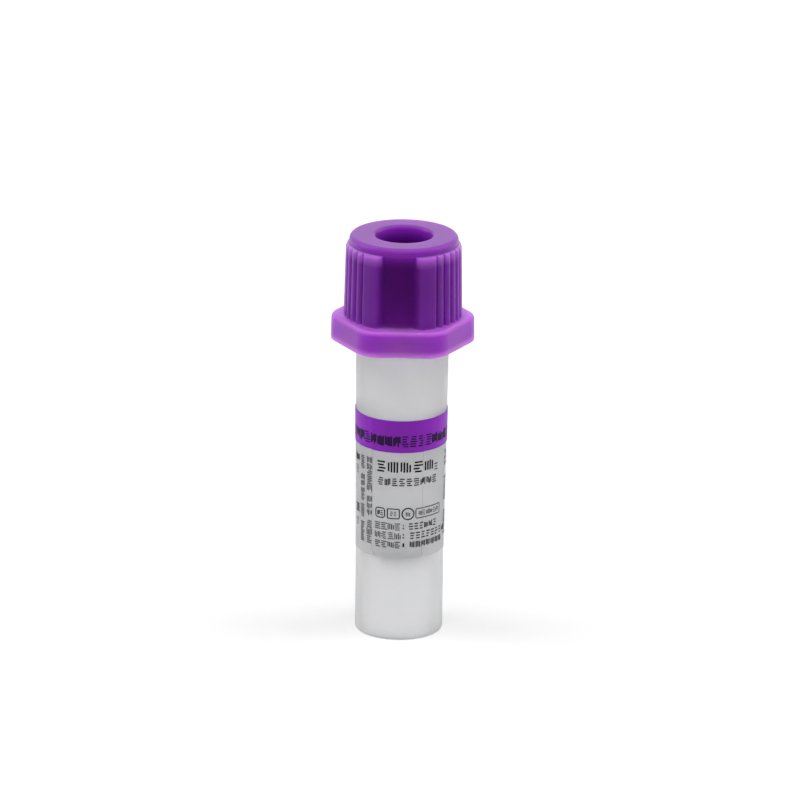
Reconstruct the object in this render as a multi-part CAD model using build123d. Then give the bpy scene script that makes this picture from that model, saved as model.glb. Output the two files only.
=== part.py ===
from build123d import *
import math
import os

# A micro blood collection tube that stands on its own skirt.
# Three pieces: the moulded tube, the moulded push-on cap with its hollow plug, and the wrapped film label.
# Millimetres, +Z up. The origin is on the tube's axis, at the level the tube stands on.

# Tube
tube_length = 43.3            # from the foot to the mouth
foot_radius = 4.81            # outside, of the straight skirt
straight_height = 9.2         # where the outside starts to taper outwards
shoulder_radius = 5.06        # outside, at the top of the taper
shoulder_height = 34.3        # top of the taper, hidden in the cap
neck_step = 0.08              # how much narrower the neck is than the shoulder
neck_wall = 0.98              # wall where the plug seals
lower_wall = 1.1              # wall at the lower end of the reservoir
skirt_wall = 0.9              # wall of the hollow skirt, at the foot
skirt_draft = 0.07            # how much narrower the skirt's inside is at its top
floor_height = 7.9            # lowest point inside the reservoir
floor_wall = 0.9              # thickness of the round bottom
plug_seat_length = 9.0        # straight length of bore below the mouth
lip_rounding = 0.3            # edges of the mouth
foot_rounding = 0.2           # outer edge of the foot

# Snap ring round the outside of the tube's neck
snap_ring_height = 0.15       # how far it stands out
snap_ring_width = 1.4
snap_ring_drop = 2.2          # from the mouth down to its middle

# Cap: seat and plug
deck_thickness = 1.75         # top wall of the cap
deck_gap = 0.05               # between the tube's mouth and the underside of the deck
plug_length = 5.9             # below the underside of the deck
plug_wall = 0.85              # at the top of the well
plug_floor = 0.8              # closed end of the plug
plug_clearance = 0.05         # radial, plug to bore
seal_ring_clearance = 0.02    # radial, sealing ring to bore
seal_ring_width = 1.2
seal_ring_rise = 1.8          # from the plug's end up to the middle of its sealing ring
plug_end_rounding = 0.6
well_draft = 0.2              # how much narrower the well is at its floor
well_rim_rounding = 0.38
well_floor_rounding = 0.7

# Cap: skirt
cap_height = 11.85
skirt_gap = 0.33              # radial, tube's neck to the cap's inner wall
catch_clearance = 0.05        # radial, snap ring to the catch inside the cap
catch_width = 1.2
catch_drop = 4.2              # from the tube's mouth down to the middle of the catch
cap_wall = 0.5                # between the ribs, at the top
cap_draft = 1.1               # degrees, of the skirt's outside
mouth_lead_in = 0.4           # chamfer at the open end

# Cap: ribs, lands and thumb panels round the skirt
rib_height = 0.44
ribs_per_turn = 36            # whole turns' worth, before the panels interrupt them
panel_count = 2
panel_turn = -4.75            # degrees from the middle of the flange's front flat
panel_half_angle = 14.0       # where the panel starts to rise to the land beside it
land_start_angle = 23.5
land_end_angle = 40.8         # where the ribs begin
land_edge_angle = 4.0         # rounded outer edge of a land
rim_overhang = 0.1            # how far the top rim stands out from the panels
rim_rounding = 0.5
rim_height = 0.65             # from the top down to where the rim turns in
rim_fade = 1.4                # height in which its underside runs into the panels
rim_sink = 0.12               # how far the fade ends inside the panels' face
shoulder_rounding = 0.9       # of the ribs' and lands' tops
shoulder_drop = 0.7           # from the cap's top down to the shoulders' highest point
shoulder_reach = 0.06         # how far the rounding passes the ribs' crests at the top
shoulder_side_angle = 10.0    # degrees off upright, where the rounding ends
foot_cove = 0.35              # between the ribs, where the skirt meets the flange
cove_sink = 0.02              # how far it starts inside the panels' face

# Cap: flange
flange_height = 2.9
flange_ledge = 0.71           # from the ribs' crests to a flat
flange_wall = 0.85            # at the middle of a flat, round the hollow underside
flange_roof = 0.85            # above the hollow
hollow_draft = 0.1            # how much narrower the hollow is at its top
flange_corner_rounding = 2.8
flange_draft = 1.0            # degrees
flange_top_rounding = 0.5
flange_foot_rounding = 0.15

# Label
film_thickness = 0.08
film_gap = 0.01               # adhesive between film and tube
label_bottom = 9.6
label_top = 25.43
lap_start_angle = -38.0       # free end of the film, from the front
lap_end_angle = 29.0          # where the upper layer comes down to the tube
lap_bond = 0.01               # how far the lap is sunk into the turn below it
label_corner_rounding = 0.8

# Worked out from the above
neck_radius = shoulder_radius - neck_step
bore_radius = neck_radius - neck_wall
reservoir_end_radius = foot_radius - lower_wall
deck_level = tube_length + deck_gap
total_height = deck_level + deck_thickness
cap_foot = total_height - cap_height
flange_top = cap_foot + flange_height
cap_bore_radius = neck_radius + skirt_gap
panel_top_radius = cap_bore_radius + cap_wall
panel_foot_radius = panel_top_radius + (total_height - flange_top) * math.tan(math.radians(cap_draft))
crest_foot_radius = panel_foot_radius + rib_height
flange_apothem = crest_foot_radius + flange_ledge
flange_hollow_radius = flange_apothem - flange_wall
flange_hollow_top = flange_top - flange_roof
front_angle = -90.0           # the front faces -Y


def polar(radius, angle):
    """A point in plan, with its angle in degrees."""
    return (radius * math.cos(math.radians(angle)), radius * math.sin(math.radians(angle)))


def tube_radius(height):
    """Outside radius of the tube's taper."""
    along_taper = (height - straight_height) / (shoulder_height - straight_height)
    return foot_radius + (shoulder_radius - foot_radius) * along_taper


def turned(*edges):
    """A solid of revolution from a closed outline in the X-Z plane."""
    return revolve(make_face(Plane.XZ * (Curve() + list(edges))), Axis.Z)


def ring_bulge(radius, height, width, level):
    """A ring of round section that stands `height` out from a cylinder of `radius`."""
    half = width / 2
    base = radius - height
    return turned(
        ThreePointArc((radius, level - half), (radius + height, level), (radius, level + half)),
        Polyline((radius, level + half), (base, level + half), (base, level - half), (radius, level - half)),
    )


def make_tube():
    foot_inner = foot_radius - skirt_wall
    skirt_inner = foot_inner - skirt_draft
    end_centre = floor_height + reservoir_end_radius
    dome_radius = reservoir_end_radius + floor_wall
    skirt_top = end_centre - math.sqrt(dome_radius**2 - skirt_inner**2)
    seat_foot = tube_length - plug_seat_length

    outside = turned(Polyline(
        (0, 0), (foot_radius, 0), (foot_radius, straight_height), (shoulder_radius, shoulder_height),
        (neck_radius, shoulder_height + neck_step), (neck_radius, tube_length),
        (0, tube_length), (0, 0)))
    outside = fillet(outside.edges().sort_by(Axis.Z)[0], foot_rounding)
    outside += ring_bulge(neck_radius, snap_ring_height, snap_ring_width, tube_length - snap_ring_drop)

    quarter = math.sqrt(0.5) * reservoir_end_radius
    reservoir = turned(
        ThreePointArc((0, floor_height), (quarter, end_centre - quarter), (reservoir_end_radius, end_centre)),
        Polyline((reservoir_end_radius, end_centre), (bore_radius, seat_foot), (bore_radius, tube_length),
                 (0, tube_length), (0, floor_height)),
    )
    dome_half = math.asin(skirt_inner / dome_radius) / 2
    skirt_hollow = turned(
        Polyline((0, floor_height - floor_wall), (0, 0), (foot_inner, 0), (skirt_inner, skirt_top)),
        ThreePointArc((skirt_inner, skirt_top),
                      (dome_radius * math.sin(dome_half), end_centre - dome_radius * math.cos(dome_half)),
                      (0, floor_height - floor_wall)),
    )
    tube = outside - reservoir - skirt_hollow
    lip = tube.faces().sort_by(Axis.Z)[-1]
    return fillet(lip.edges(), lip_rounding)


def ribbed_outline(scale):
    """Plan of the cap's skirt: panels, the lands beside them, and ribs between."""
    low = panel_foot_radius * scale
    high = crest_foot_radius * scale
    pitch = 360.0 / ribs_per_turn
    edges = []
    for panel in range(panel_count):
        middle = front_angle + panel_turn + panel * 360.0 / panel_count

        def at(radius, angle):
            return polar(radius, middle + angle)

        def heading(side, angle):
            """Direction round the cap, away from the panel."""
            return Vector(*polar(side, middle + angle + 90))

        for side in (-1, 1):
            panel_end = side * panel_half_angle
            land_start = side * land_start_angle
            land_edge = side * (land_end_angle - land_edge_angle)
            edges.append(Spline(at(low, panel_end), at(high, land_start),
                                tangents=[heading(side, panel_end), heading(side, land_start)]))
            edges.append(ThreePointArc(at(high, land_start), at(high, (land_start + land_edge) / 2),
                                       at(high, land_edge)))
            edges.append(TangentArc(at(high, land_edge), at(low, side * land_end_angle),
                                    tangent=heading(side, land_edge)))
        edges.append(ThreePointArc(at(low, -panel_half_angle), at(low, 0), at(low, panel_half_angle)))

        rib_span = 360.0 / panel_count - 2 * land_end_angle
        rib_count = round(rib_span / pitch)
        step = rib_span / rib_count
        for rib in range(rib_count):
            start = land_end_angle + rib * step
            edges.append(ThreePointArc(at(low, start), at(high, start + step / 2), at(low, start + step)))
    return make_face(Curve() + edges)


def rounded_hexagon(apothem, level):
    """Plan of the flange, with its flats to the front and back."""
    hexagon = RegularPolygon(apothem, 6, major_radius=False)
    return Pos(0, 0, level) * fillet(hexagon.vertices(), flange_corner_rounding)


def make_flange():
    top_apothem = flange_apothem - flange_height * math.tan(math.radians(flange_draft))
    foot = rounded_hexagon(flange_apothem, cap_foot)
    flange = loft([foot, rounded_hexagon(top_apothem, flange_top)], ruled=True)
    flange = fillet(flange.edges().group_by(Axis.Z)[-1], flange_top_rounding)
    return fillet(flange.edges().group_by(Axis.Z)[0], flange_foot_rounding)


def make_rim():
    """The rim of the top: a rounded edge, and an underside that fades into the panels."""
    rim_radius = panel_top_radius + rim_overhang
    rim_foot = total_height - rim_height
    fade_foot = rim_foot - rim_fade
    rim = turned(
        Polyline((0, total_height), (0, fade_foot), (panel_top_radius - rim_sink, fade_foot)),
        ThreePointArc((panel_top_radius - rim_sink, fade_foot),
                      (panel_top_radius + rim_sink / 2, rim_foot - rim_fade / 3), (rim_radius, rim_foot)),
        Polyline((rim_radius, rim_foot), (rim_radius, total_height), (0, total_height)),
    )
    return fillet(rim.edges().group_by(Axis.Z)[-1], rim_rounding)


def make_foot_cove():
    """Hollow fillet round the skirt's foot. It shows between the ribs and on the panels."""
    inner = panel_foot_radius - cove_sink
    outer = inner + foot_cove
    middle = (1 - math.sqrt(0.5)) * foot_cove
    return turned(
        ThreePointArc((inner, flange_top + foot_cove), (inner + middle, flange_top + middle),
                      (outer, flange_top)),
        Polyline((outer, flange_top), (outer, flange_top - foot_cove),
                 (inner - foot_cove, flange_top - foot_cove), (inner - foot_cove, flange_top + foot_cove),
                 (inner, flange_top + foot_cove)),
    )


def make_cap_outside():
    top_scale = panel_top_radius / panel_foot_radius
    inside_flange = flange_top - flange_height / 2
    skirt_rise = total_height - flange_top
    foot_scale = 1 + (1 - top_scale) * (flange_top - inside_flange) / skirt_rise
    ribbed = loft([Pos(0, 0, inside_flange) * ribbed_outline(foot_scale),
                   Pos(0, 0, total_height) * ribbed_outline(top_scale)], ruled=True)

    reach = crest_foot_radius + 1
    round_middle = panel_top_radius + rib_height + shoulder_reach - shoulder_rounding
    round_level = total_height - shoulder_drop - shoulder_rounding

    def on_shoulder(angle):
        turn = math.radians(angle)
        return (round_middle + shoulder_rounding * math.cos(turn),
                round_level + shoulder_rounding * math.sin(turn))

    side = on_shoulder(shoulder_side_angle)
    slope_foot = side[1] - (reach - side[0]) / math.tan(math.radians(shoulder_side_angle))
    envelope = turned(
        Polyline(on_shoulder(90), (0, round_level + shoulder_rounding), (0, inside_flange),
                 (reach, inside_flange), (reach, slope_foot), side),
        ThreePointArc(side, on_shoulder(45), on_shoulder(90)),
    )
    return (ribbed & envelope) + make_rim() + make_foot_cove() + make_flange()


def make_cap():
    plug_radius = bore_radius - plug_clearance
    plug_end = deck_level - plug_length
    well_radius = plug_radius - plug_wall
    well_floor = plug_end + plug_floor

    around_neck = turned(Polyline(
        (0, cap_foot), (flange_hollow_radius, cap_foot),
        (flange_hollow_radius - hollow_draft, flange_hollow_top),
        (cap_bore_radius + mouth_lead_in, flange_hollow_top),
        (cap_bore_radius, flange_hollow_top + mouth_lead_in),
        (cap_bore_radius, deck_level), (0, deck_level), (0, cap_foot)))
    catch_level = tube_length - catch_drop
    catch_reach = cap_bore_radius - (neck_radius + snap_ring_height + catch_clearance)
    half = catch_width / 2
    catch = turned(
        ThreePointArc((cap_bore_radius, catch_level - half), (cap_bore_radius - catch_reach, catch_level),
                      (cap_bore_radius, catch_level + half)),
        Polyline((cap_bore_radius, catch_level + half), (cap_bore_radius + catch_reach, catch_level + half),
                 (cap_bore_radius + catch_reach, catch_level - half), (cap_bore_radius, catch_level - half)),
    )
    plug = turned(Polyline(
        (0, plug_end), (plug_radius, plug_end), (plug_radius, deck_level + deck_thickness / 2),
        (0, deck_level + deck_thickness / 2), (0, plug_end)))
    plug = fillet(plug.edges().sort_by(Axis.Z)[0], plug_end_rounding)
    seal_height = plug_clearance - seal_ring_clearance
    plug += ring_bulge(plug_radius, seal_height, seal_ring_width, plug_end + seal_ring_rise)
    well = turned(Polyline(
        (0, well_floor), (well_radius - well_draft, well_floor), (well_radius, total_height),
        (0, total_height), (0, well_floor)))
    well = fillet(well.edges().group_by(Axis.Z)[0], well_floor_rounding)

    cap = make_cap_outside() - around_neck + catch + plug - well
    rim = cap.edges().group_by(Axis.Z)[-1].filter_by(GeomType.CIRCLE).sort_by(SortBy.RADIUS)[0]
    return fillet(rim, well_rim_rounding)


def film_layer(inner, outer):
    """Outline of a film layer in the X-Z plane, parallel to the tube's taper."""
    foot = tube_radius(label_bottom)
    top = tube_radius(label_top)
    return make_face(Plane.XZ * Polyline(
        (foot + inner, label_bottom), (foot + outer, label_bottom), (top + outer, label_top),
        (top + inner, label_top), (foot + inner, label_bottom)))


def make_label():
    """One turn of film, and the lap that covers its start."""
    outside = film_gap + film_thickness
    one_turn = revolve(film_layer(film_gap, outside), Axis.Z)

    lap_layer = film_layer(outside - lap_bond, outside + film_thickness)
    lap = revolve(lap_layer, Axis.Z, lap_end_angle - lap_start_angle)
    reach = 2 * tube_radius(label_top)
    window = Pos(reach / 2, (label_bottom + label_top) / 2) * Rectangle(reach, label_top - label_bottom)
    window = fillet(window.vertices().sort_by(Axis.X)[:2], label_corner_rounding)
    lap &= extrude(Plane.YZ * window, reach)
    return one_turn + Rot(0, 0, front_angle + lap_start_angle) * lap


os.makedirs("parts", exist_ok=True)
export_step(make_tube(), "parts/tube.step")
export_step(make_cap(), "parts/cap.step")
export_step(make_label(), "parts/label.step")
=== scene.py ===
import math

import bmesh
import bpy
from mathutils import Matrix, Vector


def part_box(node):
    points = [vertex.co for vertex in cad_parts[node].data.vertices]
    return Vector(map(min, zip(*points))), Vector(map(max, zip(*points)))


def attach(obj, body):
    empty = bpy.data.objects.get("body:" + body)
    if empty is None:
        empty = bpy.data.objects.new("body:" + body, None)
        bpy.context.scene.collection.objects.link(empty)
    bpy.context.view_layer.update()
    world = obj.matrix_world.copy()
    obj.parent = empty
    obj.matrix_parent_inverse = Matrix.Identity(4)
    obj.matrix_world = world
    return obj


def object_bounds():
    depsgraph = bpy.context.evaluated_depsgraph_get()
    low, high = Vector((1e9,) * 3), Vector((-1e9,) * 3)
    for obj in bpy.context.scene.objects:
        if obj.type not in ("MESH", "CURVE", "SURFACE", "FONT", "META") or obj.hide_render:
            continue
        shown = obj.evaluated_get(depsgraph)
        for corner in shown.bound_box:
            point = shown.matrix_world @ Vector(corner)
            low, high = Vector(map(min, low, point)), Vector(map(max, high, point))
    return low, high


# A micro blood collection tube: ribbed cap, milky tube and printed film label.
# The finishes and the print are given in millimetres, the camera's place and the studio in metres.

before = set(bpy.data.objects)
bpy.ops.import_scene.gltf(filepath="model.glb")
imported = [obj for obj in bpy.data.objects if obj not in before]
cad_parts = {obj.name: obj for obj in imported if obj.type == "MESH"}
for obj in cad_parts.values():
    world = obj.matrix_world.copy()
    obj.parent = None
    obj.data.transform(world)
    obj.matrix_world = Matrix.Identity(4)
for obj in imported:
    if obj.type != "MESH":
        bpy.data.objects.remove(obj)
cadLow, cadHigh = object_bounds()
cadMiddle = (cadLow + cadHigh) / 2
mm = 0.001
print("frame: tube, cap and label loaded")


def linearColour(hexText):
    shares = [int(hexText[i:i + 2], 16) / 255 for i in (1, 3, 5)]
    return [s / 12.92 if s <= 0.04045 else ((s + 0.055) / 1.055) ** 2.4 for s in shares] + [1.0]


def addNode(tree, kind, sockets=None, **settings):
    node = tree.nodes.new(kind)
    for name, value in settings.items():
        setattr(node, name, value)
    for key, value in (sockets or {}).items():
        if isinstance(value, bpy.types.NodeSocket):
            tree.links.new(value, node.inputs[key])
        else:
            node.inputs[key].default_value = value
    return node


def newMaterial(name):
    material = bpy.data.materials.new(name)
    material.use_nodes = True
    material.node_tree.nodes.clear()
    return material, material.node_tree


def newTree(name, inputs):
    tree = bpy.data.node_groups.new(name, "GeometryNodeTree")
    for label, kind in inputs:
        tree.interface.new_socket(name=label, in_out="INPUT", socket_type=kind)
    tree.interface.new_socket(name="Geometry", in_out="OUTPUT",
                              socket_type="NodeSocketGeometry")
    return tree, addNode(tree, "NodeGroupInput").outputs


def meshFromTree(tree, values):
    holder = bpy.data.objects.new("holder", bpy.data.meshes.new("holder"))
    bpy.context.scene.collection.objects.link(holder)
    modifier = holder.modifiers.new("nodes", "NODES")
    modifier.node_group = tree
    sockets = [s for s in tree.interface.items_tree if s.in_out == "INPUT"]
    identifiers = {s.name: s.identifier for s in sockets}
    for name, value in values.items():
        modifier[identifiers[name]] = value
    depsgraph = bpy.context.evaluated_depsgraph_get()
    mesh = bpy.data.meshes.new_from_object(holder.evaluated_get(depsgraph))
    bpy.data.objects.remove(holder)
    return mesh


def joinedPiece(name, meshes):
    joined = bmesh.new()
    materials = []
    for mesh in meshes:
        first = len(joined.faces)
        joined.from_mesh(mesh)
        joined.faces.ensure_lookup_table()
        for face in joined.faces[first:]:
            material = mesh.materials[face.material_index]
            if material not in materials:
                materials.append(material)
            face.material_index = materials.index(material)
    result = bpy.data.meshes.new(name)
    joined.to_mesh(result)
    joined.free()
    for material in materials:
        result.materials.append(material)
    piece = bpy.data.objects.new(name, result)
    bpy.context.scene.collection.objects.link(piece)
    return piece


# Camera
cameraView = {
    "elevation": 18.77,           # degrees
    "roll": 0.82,                 # degrees
    "lens": 256.1,                # mm
    "distance": 0.62,
    "clipping": (0.02, 20.0),
    "aimOffset": (-0.00018, 0.0, 0.00362),   # from the middle of the object
}


def makeCamera(view):
    elevation = math.radians(view["elevation"])
    roll = math.radians(view["roll"])
    back = Vector((0, -math.cos(elevation), math.sin(elevation)))
    level = Vector((1, 0, 0))
    upright = back.cross(level)
    right = level * math.cos(roll) + upright * math.sin(roll)
    up = upright * math.cos(roll) - level * math.sin(roll)
    camera = bpy.data.objects.new("camera", bpy.data.cameras.new("camera"))
    camera.data.lens = view["lens"]
    camera.data.clip_start, camera.data.clip_end = view["clipping"]
    turn = Matrix((right, up, back)).transposed().to_4x4()
    place = cadMiddle + Vector(view["aimOffset"]) + back * view["distance"]
    camera.matrix_world = Matrix.Translation(place) @ turn
    bpy.context.scene.collection.objects.link(camera)
    bpy.context.scene.camera = camera


makeCamera(cameraView)
print("camera made")

# Studio
studio = {
    "floorColour": "#C6C6C6",
    "floorGlow": (0.26, 1.0),     # at the tube, so that it keeps its shadow, and far away
    "glowReach": (0.05, 0.5),     # from the tube's axis
    "floorSize": 6.0,
    "floorDrop": 0.00002,         # keeps the floor just clear of the tube's foot
    "tentColour": "#FFFFFF",
    "tentLight": 0.08,            # on the object; it is seen as plain white
    "boxes": [
        # name, azimuth and elevation in degrees, distance, width, height, power in watts
        ("overheadBox", 0, 76, 0.7, 0.6, 0.6, 4.5),
        ("leftBox", -95, 38, 0.7, 0.5, 0.8, 3.5),
        ("rightBox", 95, 38, 0.7, 0.5, 0.8, 3.5),
        ("backBox", 180, 30, 0.7, 0.8, 0.6, 0.4),
    ],
}


def seenRays(tree):
    path = addNode(tree, "ShaderNodeLightPath").outputs
    either = addNode(tree, "ShaderNodeMath", {0: path["Is Camera Ray"], 1: path["Is Glossy Ray"]},
                     operation="MAXIMUM").outputs[0]
    return addNode(tree, "ShaderNodeMath", {0: either, 1: path["Is Transmission Ray"]},
                   operation="MAXIMUM").outputs[0]


def makeFloor(settings):
    material, tree = newMaterial("paleSweep")   # matt board that fades into the white behind it
    matt = addNode(tree, "ShaderNodeBsdfDiffuse", {
        "Color": linearColour(settings["floorColour"])}).outputs[0]
    place = addNode(tree, "ShaderNodeTexCoord").outputs["Object"]
    away = addNode(tree, "ShaderNodeVectorMath", {0: place}, operation="LENGTH").outputs["Value"]
    near, far = settings["glowReach"]
    nearGlow, farGlow = settings["floorGlow"]
    faded = addNode(tree, "ShaderNodeMapRange", {
        "Value": away, 1: near, 2: far, 3: nearGlow, 4: farGlow}).outputs[0]
    glow = addNode(tree, "ShaderNodeMath", {0: seenRays(tree), 1: faded},
                   operation="MULTIPLY").outputs[0]
    white = addNode(tree, "ShaderNodeEmission", {"Strength": glow}).outputs[0]
    both = addNode(tree, "ShaderNodeAddShader", {0: matt, 1: white}).outputs[0]
    addNode(tree, "ShaderNodeOutputMaterial", {"Surface": both})

    half = settings["floorSize"] / 2
    level = cadLow.z - settings["floorDrop"]
    corners = [(-half, -half, level), (half, -half, level),
               (half, half, level), (-half, half, level)]
    mesh = bpy.data.meshes.new("floor")
    mesh.from_pydata(corners, [], [(0, 1, 2, 3)])
    mesh.materials.append(material)
    floor = bpy.data.objects.new("floor", mesh)
    bpy.context.scene.collection.objects.link(floor)


def makeTent(settings):
    world = bpy.data.worlds.new("lightTent")
    world.use_nodes = True
    tree = world.node_tree
    tree.nodes.clear()
    bpy.context.scene.world = world
    strength = addNode(tree, "ShaderNodeMix", {
        0: seenRays(tree), 2: settings["tentLight"], 3: 1.0}).outputs[0]
    tent = addNode(tree, "ShaderNodeBackground", {
        "Color": linearColour(settings["tentColour"]), "Strength": strength}).outputs[0]
    addNode(tree, "ShaderNodeOutputWorld", {"Surface": tent})


def makeBoxes(settings):
    for name, azimuth, elevation, distance, width, height, power in settings["boxes"]:
        lamp = bpy.data.lights.new(name, "AREA")
        lamp.shape = "RECTANGLE"
        lamp.size = width
        lamp.size_y = height
        lamp.energy = power
        holder = bpy.data.objects.new(name, lamp)
        side, rise = math.radians(azimuth), math.radians(elevation)
        away = Vector((math.sin(side) * math.cos(rise), -math.cos(side) * math.cos(rise),
                       math.sin(rise)))
        holder.location = cadMiddle + away * distance
        holder.rotation_euler = away.to_track_quat("Z", "Y").to_euler()
        holder.visible_camera = False
        bpy.context.scene.collection.objects.link(holder)


makeFloor(studio)
makeTent(studio)
makeBoxes(studio)
print("floor, tent and soft boxes made")

# Cap; heights are above its foot
capFinish = {
    "ribColour": "#6A1996",
    "valleyShadeColour": "#540E7A",    # painted shade: darker at smaller radius, between the ribs and down the well
    "deckColour": "#681C84",
    "shoulderHighlightColour": "#A458CC",  # painted highlight on the rounded ends of the lands and ribs
    "flangeGlowColour": "#812FA5",    # painted glow: the thick flange is lighter than the rest of the cap
    "edgeHighlightColour": "#9A4ABC",      # painted highlights on its edges below and above, lighter still
    "draft": 1.1,                 # degrees, of the skirt
    "valleyRadius": (6.04, 6.4),  # in the valleys and near the crests, at the cap's foot
    "shoulderHighlightRadius": (5.93, 6.05),
    "shoulderLevels": (9.6, 11.0),
    "flangeGlowLevels": (3.2, 2.8),   # where the flange's painted glow starts and is full
    "edgeHighlightLevels": (0.35, 0.8, 2.4, 2.8),
    "swirl": 0.12,                # share of the colour, from the pigment in the melt
    "swirlSize": 4.0,
    "swirlDetail": 2.0,           # finer swirls inside each
    "grainSize": 0.12,            # coarser than the mould's real grain, so that it shows
    "grainDepth": 0.002,
    "roughness": 0.37,
    "ior": 1.51,
    "glossTint": "#A488B2",       # facing gloss; it stays white at a grazing angle
    "panelShadeTint": "#583068",       # painted shade: a darker gloss tint on the thumb panels, so that they hardly shine
    "panelTurn": -4.75,           # degrees
    "panelSides": (2.6, 1.8),     # from a panel's middle, where it starts and is full
    "panelLevels": (3.4, 10.9),
    "scatter": 10.0,              # how far light spreads inside
    "scatterShares": (0.9, 0.6, 1.1),   # of that, for red, green and blue
}


def makeCapPlastic(finish):
    # waxy: light spreads inside it, with a satin sheen
    material, tree = newMaterial("mouldedPolyethylene")
    paint = {name: linearColour(hexText) for name, hexText in finish.items()
             if name.endswith("Colour")}
    metres = addNode(tree, "ShaderNodeTexCoord").outputs["Object"]
    place = addNode(tree, "ShaderNodeVectorMath", {0: metres, "Scale": 1 / mm},
                    operation="SCALE").outputs[0]
    level = addNode(tree, "ShaderNodeSeparateXYZ", {0: place}).outputs["Z"]
    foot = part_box("cap")[0].z / mm
    height = addNode(tree, "ShaderNodeMath", {0: level, 1: foot}, operation="SUBTRACT").outputs[0]
    flat = addNode(tree, "ShaderNodeVectorMath", {0: place, 1: (1, 1, 0)},
                   operation="MULTIPLY").outputs[0]
    radius = addNode(tree, "ShaderNodeVectorMath", {0: flat}, operation="LENGTH").outputs["Value"]

    # skirt: painted shade in the valleys and the rib colour on the crests, told apart without the
    # draft
    slope = math.tan(math.radians(finish["draft"]))
    undrafted = addNode(tree, "ShaderNodeMath", {0: height, 1: slope, 2: radius},
                        operation="MULTIPLY_ADD").outputs[0]
    valley, crest = finish["valleyRadius"]
    onCrest = addNode(tree, "ShaderNodeMapRange", {
        "Value": undrafted, 1: valley, 2: crest}).outputs[0]
    skirt = addNode(tree, "ShaderNodeMix", {
        "Factor": onCrest, 6: paint["valleyShadeColour"], 7: paint["ribColour"]},
        data_type="RGBA").outputs[2]

    # top: the deck, and a painted highlight on the shoulders round it
    inner, outer = finish["shoulderHighlightRadius"]
    onShoulderHighlight = addNode(tree, "ShaderNodeMapRange", {
        "Value": radius, 1: inner, 2: outer}).outputs[0]
    top = addNode(tree, "ShaderNodeMix", {
        "Factor": onShoulderHighlight, 6: paint["deckColour"], 7: paint["shoulderHighlightColour"]},
        data_type="RGBA").outputs[2]
    low, high = finish["shoulderLevels"]
    atTop = addNode(tree, "ShaderNodeMapRange", {"Value": height, 1: low, 2: high}).outputs[0]
    upper = addNode(tree, "ShaderNodeMix", {"Factor": atTop, 6: skirt, 7: top},
                    data_type="RGBA").outputs[2]

    # flange: painted glow, with painted highlights on its edges below and above
    bottom, lower, higher, topmost = finish["edgeHighlightLevels"]
    underEdgeHighlight = addNode(tree, "ShaderNodeMapRange", {
        "Value": height, 1: lower, 2: bottom}).outputs[0]
    onEdgeHighlight = addNode(tree, "ShaderNodeMapRange", {
        "Value": height, 1: higher, 2: topmost, 3: underEdgeHighlight}).outputs[0]
    flange = addNode(tree, "ShaderNodeMix", {
        "Factor": onEdgeHighlight, 6: paint["flangeGlowColour"], 7: paint["edgeHighlightColour"]},
        data_type="RGBA").outputs[2]
    above, within = finish["flangeGlowLevels"]
    inFlangeGlow = addNode(tree, "ShaderNodeMapRange", {
        "Value": height, 1: above, 2: within}, interpolation_type="SMOOTHSTEP").outputs[0]
    plain = addNode(tree, "ShaderNodeMix", {"Factor": inFlangeGlow, 6: upper, 7: flange},
                    data_type="RGBA").outputs[2]

    swirl = addNode(tree, "ShaderNodeTexNoise", {
        "Vector": place, "Scale": 1 / finish["swirlSize"],
        "Detail": finish["swirlDetail"]}).outputs["Fac"]
    lightness = addNode(tree, "ShaderNodeMapRange", {
        "Value": swirl, 3: 1 + finish["swirl"], 4: 1 - finish["swirl"]}).outputs[0]
    colour = addNode(tree, "ShaderNodeVectorMath", {0: plain, "Scale": lightness},
                     operation="SCALE").outputs[0]

    # painted shade: duller gloss on the two thumb panels
    turn = math.radians(finish["panelTurn"])
    sideways = (math.cos(turn), math.sin(turn), 0)
    across = addNode(tree, "ShaderNodeVectorMath", {0: place, 1: sideways},
                     operation="DOT_PRODUCT").outputs["Value"]
    offMiddle = addNode(tree, "ShaderNodeMath", {0: across}, operation="ABSOLUTE").outputs[0]
    side, inside = finish["panelSides"]
    inWidth = addNode(tree, "ShaderNodeMapRange", {
        "Value": offMiddle, 1: side, 2: inside}, interpolation_type="SMOOTHSTEP").outputs[0]
    low, high = finish["panelLevels"]
    overLow = addNode(tree, "ShaderNodeMath", {0: height, 1: low},
                      operation="GREATER_THAN").outputs[0]
    underHigh = addNode(tree, "ShaderNodeMath", {0: height, 1: high},
                        operation="LESS_THAN").outputs[0]
    inHeight = addNode(tree, "ShaderNodeMath", {0: overLow, 1: underHigh},
                       operation="MULTIPLY").outputs[0]
    inPanelShade = addNode(tree, "ShaderNodeMath", {0: inWidth, 1: inHeight},
                      operation="MULTIPLY").outputs[0]
    tint = addNode(tree, "ShaderNodeMix", {
        "Factor": inPanelShade, 6: linearColour(finish["glossTint"]),
        7: linearColour(finish["panelShadeTint"])}, data_type="RGBA").outputs[2]

    grain = addNode(tree, "ShaderNodeTexNoise", {
        "Vector": place, "Scale": 1 / finish["grainSize"]}).outputs["Fac"]
    bump = addNode(tree, "ShaderNodeBump", {
        "Height": grain, "Distance": finish["grainDepth"] * mm, "Strength": 1.0}).outputs[0]
    body = addNode(tree, "ShaderNodeBsdfPrincipled", {
        "Base Color": colour, "Roughness": finish["roughness"], "IOR": finish["ior"],
        "Specular Tint": tint, "Subsurface Weight": 1.0,
        "Subsurface Radius": finish["scatterShares"],
        "Subsurface Scale": finish["scatter"] * mm, "Normal": bump}).outputs[0]
    addNode(tree, "ShaderNodeOutputMaterial", {"Surface": body})
    return material


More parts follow.
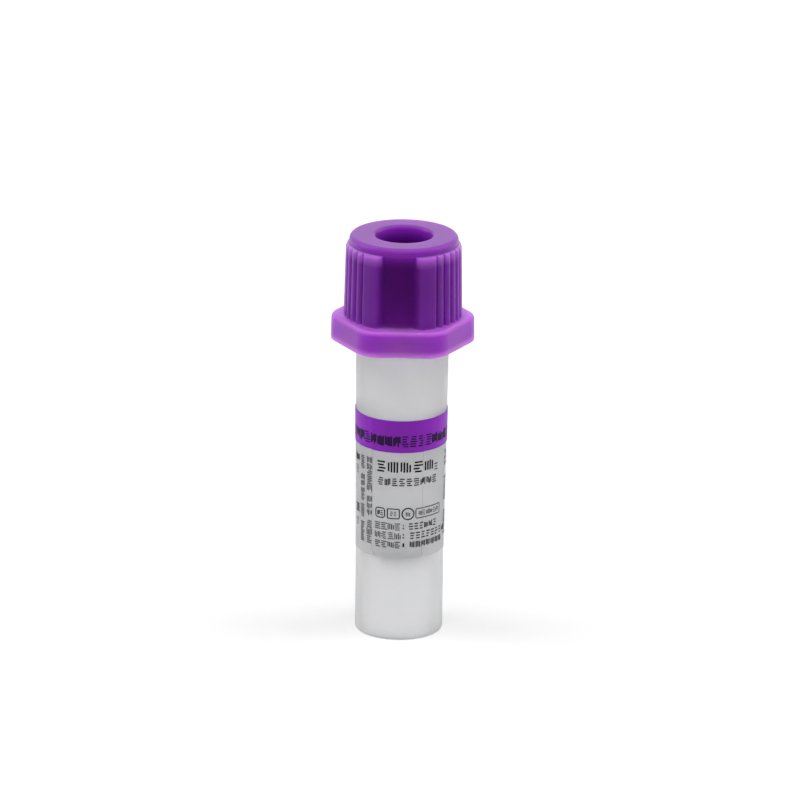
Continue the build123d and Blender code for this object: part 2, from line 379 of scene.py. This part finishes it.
# Tube
tubeFinish = {
    "colour": "#FDFDFE",
    "roughness": 0.55,
    "ior": 1.49,
    "clear": 0.65,                # share of the light that passes through; the rest spreads inside
    "scatter": 3.0,
    "scatterShares": (1.0, 1.0, 1.0),   # equal, so that it stays white
    "grainSize": 0.25,            # coarser than the mould's real grain, so that it shows
    "grainDepth": 0.002,
}


def makeTubePlastic(finish):
    # milky: shapes behind it show as soft shades
    material, tree = newMaterial("naturalPolypropylene")
    metres = addNode(tree, "ShaderNodeTexCoord").outputs["Object"]
    grain = addNode(tree, "ShaderNodeTexNoise", {
        "Vector": metres, "Scale": 1 / (finish["grainSize"] * mm)}).outputs["Fac"]
    bump = addNode(tree, "ShaderNodeBump", {
        "Height": grain, "Distance": finish["grainDepth"] * mm, "Strength": 1.0}).outputs[0]
    body = addNode(tree, "ShaderNodeBsdfPrincipled", {
        "Base Color": linearColour(finish["colour"]), "Roughness": finish["roughness"],
        "IOR": finish["ior"], "Transmission Weight": finish["clear"], "Subsurface Weight": 1.0,
        "Subsurface Radius": finish["scatterShares"],
        "Subsurface Scale": finish["scatter"] * mm, "Normal": bump}).outputs[0]
    addNode(tree, "ShaderNodeOutputMaterial", {"Surface": body})
    return material


# Label
labelFinish = {
    "filmColour": "#B4B4B6",
    "filmCover": 0.12,            # share that isn't seen through
    "bandColour": "#8A20B8",
    "bandCover": 0.97,
    "bandFoot": 12.21,            # above the label's foot
    "bandEnds": 2.8,              # behind the axis, so that the back stays clear
    "mottle": 0.05,               # share of the ink's depth
    "mottleSize": 0.35,
    "rippleSize": 1.6,
    "rippleDetail": 0.0,          # long smooth waves only
    "rippleDepth": 0.004,
    "roughness": 0.45,
    "gloss": 0.2,
}


def makeLabelFilm(finish):
    # thin clear film with a flat printed band, a little uneven and rippled
    material, tree = newMaterial("printedFilm")
    metres = addNode(tree, "ShaderNodeTexCoord").outputs["Object"]
    axes = addNode(tree, "ShaderNodeSeparateXYZ", {0: metres}).outputs
    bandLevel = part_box("label")[0].z + finish["bandFoot"] * mm
    above = addNode(tree, "ShaderNodeMath", {0: axes["Z"], 1: bandLevel},
                    operation="GREATER_THAN").outputs[0]
    before = addNode(tree, "ShaderNodeMath", {0: axes["Y"], 1: finish["bandEnds"] * mm},
                     operation="LESS_THAN").outputs[0]
    inBand = addNode(tree, "ShaderNodeMath", {0: above, 1: before}, operation="MULTIPLY").outputs[0]
    plain = addNode(tree, "ShaderNodeMix", {
        "Factor": inBand, 6: linearColour(finish["filmColour"]),
        7: linearColour(finish["bandColour"])}, data_type="RGBA").outputs[2]
    mottle = addNode(tree, "ShaderNodeTexNoise", {
        "Vector": metres, "Scale": 1 / (finish["mottleSize"] * mm)}).outputs["Fac"]
    lightness = addNode(tree, "ShaderNodeMapRange", {
        "Value": mottle, 3: 1 - finish["mottle"], 4: 1 + finish["mottle"]}).outputs[0]
    colour = addNode(tree, "ShaderNodeVectorMath", {0: plain, "Scale": lightness},
                     operation="SCALE").outputs[0]
    ripple = addNode(tree, "ShaderNodeTexNoise", {
        "Vector": metres, "Scale": 1 / (finish["rippleSize"] * mm),
        "Detail": finish["rippleDetail"]}).outputs["Fac"]
    bump = addNode(tree, "ShaderNodeBump", {
        "Height": ripple, "Distance": finish["rippleDepth"] * mm, "Strength": 1.0}).outputs[0]
    cover = addNode(tree, "ShaderNodeMix", {
        0: inBand, 2: finish["filmCover"], 3: finish["bandCover"]}).outputs[0]
    body = addNode(tree, "ShaderNodeBsdfPrincipled", {
        "Base Color": colour, "Roughness": finish["roughness"],
        "Specular IOR Level": finish["gloss"], "Alpha": cover, "Normal": bump}).outputs[0]
    addNode(tree, "ShaderNodeOutputMaterial", {"Surface": body})
    return material


finishes = {"cap": makeCapPlastic(capFinish), "tube": makeTubePlastic(tubeFinish),
            "label": makeLabelFilm(labelFinish)}
for nodeName, material in finishes.items():
    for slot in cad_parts[nodeName].material_slots:
        slot.material = material
print("cap, tube and label finished")

# Print on the label: strokes and boxes that stand for lines of small type and signs
labelPrint = {
    "filmRadius": 5.0,            # where the layout is wrapped
    "rayStart": 1.4,              # times that radius, well outside the film
    "inkThickness": 0.012,
    "inkLift": 0.002,
    "inkColour": "#151417",
    "bandInkColour": "#200633",
    "inkMottle": (0.6, 1.5),      # lightness where the ink lies thick and thin
    "inkMottleSize": 0.12,
    "inkRoughness": 0.6,
    "inkGloss": 0.15,
    "shortest": 0.6,              # share of its room that the shortest stroke takes
    "strokePoints": (4, 3),       # along and across a stroke, so that it bends with the film
    "cornerPoints": 8,
    "lineCuts": 5,                # between two corners of a box
    "rows": [
        # start across, level, turn in degrees, cells, pitch, height,
        # strokes in a cell, weight, fill, seed, ink
        (-2.9, 20.15, 0, 5, 1.38, 1.27, 4, 0.19, 0.82, 1, "ink"),
        (4.1, 19.75, 0, 1, 0.6, 0.75, 3, 0.12, 0.95, 12, "ink"),
        (-2.6, 18.43, 0, 9, 0.79, 0.87, 4, 0.13, 0.82, 2, "ink"),
        (-2.9, 13.27, 0, 4, 0.76, 0.8, 4, 0.11, 0.9, 3, "ink"),
        (0.28, 13.27, 0, 1, 0.25, 0.5, 2, 0.16, 0.8, 4, "ink"),
        (0.9, 13.3, 0, 6, 0.62, 0.74, 3, 0.14, 0.8, 5, "ink"),
        (-2.9, 12.2, 0, 4, 0.76, 0.8, 4, 0.11, 0.9, 6, "ink"),
        (0.28, 12.2, 0, 1, 0.25, 0.5, 2, 0.16, 0.8, 7, "ink"),
        (1.05, 12.22, 0, 8, 0.66, 0.74, 3, 0.14, 0.8, 8, "ink"),
        (-2.9, 11.17, 0, 4, 0.76, 0.76, 4, 0.11, 0.9, 9, "ink"),
        (0.28, 11.17, 0, 1, 0.25, 0.5, 2, 0.16, 0.8, 10, "ink"),
        (1.05, 11.2, 0, 7, 0.66, 0.74, 3, 0.14, 0.8, 11, "ink"),
        (-7.2, 23.12, 0, 16, 0.9, 1.25, 5, 0.15, 0.9, 13, "bandInk"),
        # in the boxes
        (-2.6, 14.77, 0, 2, 0.37, 0.55, 3, 0.09, 0.85, 14, "ink"),
        (-1.13, 14.77, 0, 2, 0.4, 0.5, 3, 0.09, 0.85, 15, "ink"),
        (0.62, 14.77, 0, 1, 0.5, 0.6, 3, 0.1, 0.9, 16, "ink"),
        (2.05, 14.77, 0, 6, 0.47, 0.55, 3, 0.09, 0.85, 17, "ink"),
        # upright columns, read from the foot up
        (-6.0, 19.85, 90, 1, 1.0, 0.95, 4, 0.19, 0.95, 18, "ink"),
        (-6.0, 18.4, 90, 2, 0.5, 0.5, 3, 0.08, 0.9, 19, "ink"),
        (-6.0, 13.95, 90, 1, 1.0, 0.95, 4, 0.19, 0.95, 20, "ink"),
        (-6.0, 12.4, 90, 2, 0.5, 0.5, 3, 0.08, 0.9, 21, "ink"),
        (-4.85, 19.25, 90, 2, 0.78, 0.7, 4, 0.11, 0.92, 22, "ink"),
        (-4.85, 15.55, 90, 4, 0.8, 0.7, 4, 0.11, 0.92, 23, "ink"),
        (-4.85, 13.65, 90, 2, 0.76, 0.7, 4, 0.11, 0.92, 24, "ink"),
        (-4.85, 10.85, 90, 3, 0.77, 0.7, 4, 0.11, 0.92, 25, "ink"),
        (-3.72, 16.85, 90, 5, 0.82, 0.77, 4, 0.12, 0.92, 26, "ink"),
        (-3.72, 14.0, 90, 3, 0.8, 0.77, 4, 0.12, 0.92, 27, "ink"),
        (-3.72, 10.85, 90, 3, 0.9, 0.77, 4, 0.12, 0.92, 28, "ink"),
        (6.55, 19.2, 90, 3, 0.65, 0.7, 3, 0.11, 0.85, 29, "ink"),
        (6.55, 15.2, 90, 5, 0.6, 0.7, 3, 0.11, 0.85, 30, "ink"),
        (6.55, 11.15, 90, 5, 0.6, 0.7, 3, 0.11, 0.85, 31, "ink"),
    ],
    "outlines": [
        # centre across, level, width, height, corner, weight
        (-2.23, 14.77, 1.05, 1.1, 0.3, 0.12),
        (-0.73, 14.77, 1.3, 1.1, 0.12, 0.12),
        (0.87, 14.77, 1.3, 1.3, 0.649, 0.14),
        (3.45, 14.77, 3.4, 1.1, 0.15, 0.1),
    ],
}
filmInputs = [("Film", "NodeSocketObject"), ("Film Radius", "NodeSocketFloat"),
              ("Ray Start", "NodeSocketFloat"), ("Lift", "NodeSocketFloat")]
inkInputs = [("Ink", "NodeSocketMaterial"), ("Thickness", "NodeSocketFloat")]


def makeInk(name, colourName, layout):
    # dry resin ink: flat, hardly shiny, a little uneven in its depth
    material, tree = newMaterial(name)
    metres = addNode(tree, "ShaderNodeTexCoord").outputs["Object"]
    mottle = addNode(tree, "ShaderNodeTexNoise", {
        "Vector": metres, "Scale": 1 / (layout["inkMottleSize"] * mm)}).outputs["Fac"]
    thick, thin = layout["inkMottle"]
    lightness = addNode(tree, "ShaderNodeMapRange", {"Value": mottle, 3: thick, 4: thin}).outputs[0]
    colour = addNode(tree, "ShaderNodeVectorMath", {
        0: linearColour(layout[colourName])[:3], "Scale": lightness}, operation="SCALE").outputs[0]
    body = addNode(tree, "ShaderNodeBsdfPrincipled", {
        "Base Color": colour, "Roughness": layout["inkRoughness"],
        "Specular IOR Level": layout["inkGloss"]}).outputs[0]
    addNode(tree, "ShaderNodeOutputMaterial", {"Surface": body})
    return material


def makeWrapTree():
    # bends a flat layout round the axis and lays it on the film by rays from outside
    tree, given = newTree("wrapOnFilm", [("Flat", "NodeSocketGeometry")] + filmInputs)
    position = addNode(tree, "GeometryNodeInputPosition").outputs[0]
    axes = addNode(tree, "ShaderNodeSeparateXYZ", {0: position}).outputs
    angle = addNode(tree, "ShaderNodeMath", {0: axes["X"], 1: given["Film Radius"]},
                    operation="DIVIDE").outputs[0]
    sine = addNode(tree, "ShaderNodeMath", {0: angle}, operation="SINE").outputs[0]
    cosine = addNode(tree, "ShaderNodeMath", {0: angle}, operation="COSINE").outputs[0]
    front = addNode(tree, "ShaderNodeMath", {0: cosine, 1: -1.0}, operation="MULTIPLY").outputs[0]
    outwards = addNode(tree, "ShaderNodeCombineXYZ", {"X": sine, "Y": front}).outputs[0]
    inwards = addNode(tree, "ShaderNodeVectorMath", {0: outwards, "Scale": -1.0},
                      operation="SCALE").outputs[0]
    reach = addNode(tree, "ShaderNodeMath", {0: given["Film Radius"], 1: given["Ray Start"]},
                    operation="MULTIPLY").outputs[0]
    away = addNode(tree, "ShaderNodeVectorMath", {0: outwards, "Scale": reach},
                   operation="SCALE").outputs[0]
    rise = addNode(tree, "ShaderNodeCombineXYZ", {"Z": axes["Y"]}).outputs[0]
    source = addNode(tree, "ShaderNodeVectorMath", {0: away, 1: rise}).outputs[0]
    film = addNode(tree, "GeometryNodeObjectInfo", {"Object": given["Film"]}).outputs["Geometry"]
    hit = addNode(tree, "GeometryNodeRaycast", {
        "Target Geometry": film, "Source Position": source, "Ray Direction": inwards,
        "Ray Length": reach}).outputs["Hit Position"]
    off = addNode(tree, "ShaderNodeMath", {0: axes["Z"], 1: given["Lift"]}).outputs[0]
    proud = addNode(tree, "ShaderNodeVectorMath", {0: outwards, "Scale": off},
                    operation="SCALE").outputs[0]
    place = addNode(tree, "ShaderNodeVectorMath", {0: hit, 1: proud}).outputs[0]
    moved = addNode(tree, "GeometryNodeSetPosition", {
        "Geometry": given["Flat"], "Position": place}).outputs[0]
    addNode(tree, "NodeGroupOutput", {0: moved})
    return tree


def wrapAndInk(tree, given, flat, wrapTree):
    wrapped = addNode(tree, "GeometryNodeGroup", node_tree=wrapTree)
    for name, _ in filmInputs:
        tree.links.new(given[name], wrapped.inputs[name])
    tree.links.new(flat, wrapped.inputs["Flat"])
    solid = addNode(tree, "GeometryNodeRealizeInstances", {0: wrapped.outputs[0]}).outputs[0]
    inked = addNode(tree, "GeometryNodeSetMaterial", {
        "Geometry": solid, "Material": given["Ink"]}).outputs[0]
    addNode(tree, "NodeGroupOutput", {0: inked})


def makeRowTree(wrapTree, layout):
    # a row of cells, each with strokes that all lie or all stand
    tree, given = newTree("strokeRow", filmInputs + inkInputs + [
        ("Start", "NodeSocketVector"), ("Turn", "NodeSocketVector"), ("Cells", "NodeSocketInt"),
        ("Cell", "NodeSocketVector"), ("Height", "NodeSocketFloat"), ("Strokes", "NodeSocketInt"),
        ("Weight", "NodeSocketFloat"), ("Fill", "NodeSocketFloat"),
        ("Shortest", "NodeSocketFloat"), ("Seed", "NodeSocketInt")])
    middle = addNode(tree, "ShaderNodeVectorMath", {0: given["Cell"], "Scale": 0.5},
                     operation="SCALE").outputs[0]
    cells = addNode(tree, "GeometryNodeMeshLine", {
        "Count": given["Cells"], "Start Location": middle, "Offset": given["Cell"]},
        mode="OFFSET").outputs[0]
    copies = addNode(tree, "GeometryNodeDuplicateElements", {
        "Geometry": cells, "Amount": given["Strokes"]}, domain="POINT").outputs
    index = addNode(tree, "GeometryNodeInputIndex").outputs[0]
    cell = addNode(tree, "FunctionNodeIntegerMath", {0: index, 1: given["Strokes"]},
                   operation="DIVIDE_FLOOR").outputs[0]
    last = addNode(tree, "ShaderNodeMath", {0: given["Strokes"], 1: 1.0},
                   operation="SUBTRACT").outputs[0]
    spread = addNode(tree, "ShaderNodeMapRange", {
        "Value": copies["Duplicate Index"], 2: last, 3: -0.5, 4: 0.5}).outputs[0]
    upright = addNode(tree, "FunctionNodeRandomValue", {"ID": cell, "Seed": given["Seed"]},
                      data_type="BOOLEAN").outputs[3]
    share = addNode(tree, "FunctionNodeRandomValue", {
        2: given["Shortest"], 3: 1.0, "Seed": given["Seed"]}, data_type="FLOAT").outputs[1]
    slide = addNode(tree, "FunctionNodeRandomValue", {
        2: -0.5, 3: 0.5, "ID": index, "Seed": given["Cells"]}, data_type="FLOAT").outputs[1]

    filled = addNode(tree, "ShaderNodeVectorMath", {0: given["Cell"], "Scale": given["Fill"]},
                     operation="SCALE").outputs[0]
    rise = addNode(tree, "ShaderNodeCombineXYZ", {
        "Y": given["Height"], "Z": given["Thickness"]}).outputs[0]
    box = addNode(tree, "ShaderNodeVectorMath", {0: filled, 1: rise}).outputs[0]
    longest = addNode(tree, "ShaderNodeVectorMath", {0: box, "Scale": share},
                      operation="SCALE").outputs[0]
    along = addNode(tree, "ShaderNodeSeparateXYZ", {0: longest}).outputs
    lying = addNode(tree, "ShaderNodeCombineXYZ", {
        "X": along["X"], "Y": given["Weight"], "Z": given["Thickness"]}).outputs[0]
    standing = addNode(tree, "ShaderNodeCombineXYZ", {
        "X": given["Weight"], "Y": along["Y"], "Z": given["Thickness"]}).outputs[0]
    size = addNode(tree, "ShaderNodeMix", {"Factor": upright, 4: lying, 5: standing},
                   data_type="VECTOR").outputs[1]
    lyingAt = addNode(tree, "ShaderNodeCombineXYZ", {"X": slide, "Y": spread}).outputs[0]
    standingAt = addNode(tree, "ShaderNodeCombineXYZ", {"X": spread, "Y": slide}).outputs[0]
    at = addNode(tree, "ShaderNodeMix", {"Factor": upright, 4: lyingAt, 5: standingAt},
                 data_type="VECTOR").outputs[1]
    room = addNode(tree, "ShaderNodeVectorMath", {0: box, 1: size},
                   operation="SUBTRACT").outputs[0]
    offset = addNode(tree, "ShaderNodeVectorMath", {0: room, 1: at},
                     operation="MULTIPLY").outputs[0]
    placed = addNode(tree, "GeometryNodeSetPosition", {
        "Geometry": copies[0], "Offset": offset}).outputs[0]

    lengthwise, crosswise = layout["strokePoints"]
    stroke = addNode(tree, "GeometryNodeMeshCube", {
        "Size": (1, 1, 1), "Vertices X": lengthwise, "Vertices Y": crosswise}).outputs[0]
    strokes = addNode(tree, "GeometryNodeInstanceOnPoints", {
        "Points": placed, "Instance": stroke, "Scale": size}).outputs[0]
    solid = addNode(tree, "GeometryNodeRealizeInstances", {0: strokes}).outputs[0]
    laid = addNode(tree, "GeometryNodeTransform", {
        "Geometry": solid, "Translation": given["Start"], "Rotation": given["Turn"]}).outputs[0]
    wrapAndInk(tree, given, laid, wrapTree)
    return tree


def makeOutlineTree(wrapTree, layout):
    tree, given = newTree("outlineBox", filmInputs + inkInputs + [
        ("Across", "NodeSocketFloat"), ("Level", "NodeSocketFloat"), ("Width", "NodeSocketFloat"),
        ("Height", "NodeSocketFloat"), ("Corner", "NodeSocketFloat"),
        ("Weight", "NodeSocketFloat")])
    box = addNode(tree, "GeometryNodeCurvePrimitiveQuadrilateral", {
        "Width": given["Width"], "Height": given["Height"]}).outputs[0]
    rounded = addNode(tree, "GeometryNodeFilletCurve", {
        "Curve": box, "Radius": given["Corner"], "Limit Radius": True,
        "Count": layout["cornerPoints"]}, mode="POLY").outputs[0]
    divided = addNode(tree, "GeometryNodeSubdivideCurve", {
        "Curve": rounded, "Cuts": layout["lineCuts"]}).outputs[0]
    upright = addNode(tree, "GeometryNodeSetCurveNormal", {"Curve": divided},
                      mode="Z_UP").outputs[0]
    section = addNode(tree, "GeometryNodeCurvePrimitiveQuadrilateral", {
        "Width": given["Weight"], "Height": given["Thickness"]}).outputs[0]
    line = addNode(tree, "GeometryNodeCurveToMesh", {
        "Curve": upright, "Profile Curve": section}).outputs[0]
    start = addNode(tree, "ShaderNodeCombineXYZ", {
        "X": given["Across"], "Y": given["Level"]}).outputs[0]
    laid = addNode(tree, "GeometryNodeTransform", {
        "Geometry": line, "Translation": start}).outputs[0]
    wrapAndInk(tree, given, laid, wrapTree)
    return tree


def makePrint(layout):
    inks = {"ink": makeInk("blackInk", "inkColour", layout),
            "bandInk": makeInk("darkBandInk", "bandInkColour", layout)}
    wrapTree = makeWrapTree()
    rowTree = makeRowTree(wrapTree, layout)
    outlineTree = makeOutlineTree(wrapTree, layout)
    shared = {"Film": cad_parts["label"], "Film Radius": layout["filmRadius"] * mm,
              "Ray Start": layout["rayStart"], "Thickness": layout["inkThickness"] * mm,
              "Lift": (layout["inkLift"] + layout["inkThickness"] / 2) * mm}
    meshes = []
    for (across, level, turn, cells, pitch, height, strokes, weight, fill, seed,
         ink) in layout["rows"]:
        meshes.append(meshFromTree(rowTree, shared | {
            "Ink": inks[ink], "Start": (across * mm, level * mm, 0),
            "Turn": (0, 0, math.radians(turn)), "Cells": cells, "Cell": (pitch * mm, 0, 0),
            "Height": height * mm, "Strokes": strokes, "Weight": weight * mm, "Fill": fill,
            "Shortest": layout["shortest"], "Seed": seed}))
    for across, level, width, height, corner, weight in layout["outlines"]:
        meshes.append(meshFromTree(outlineTree, shared | {
            "Ink": inks["ink"], "Across": across * mm, "Level": level * mm,
            "Width": width * mm, "Height": height * mm, "Corner": corner * mm,
            "Weight": weight * mm}))
    piece = joinedPiece("labelPrint", meshes)
    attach(piece, "tube_body")
    return piece


printed = makePrint(labelPrint)
print("print laid on the label:", len(printed.data.polygons), "faces")

bpy.context.scene.view_settings.view_transform = "Standard"
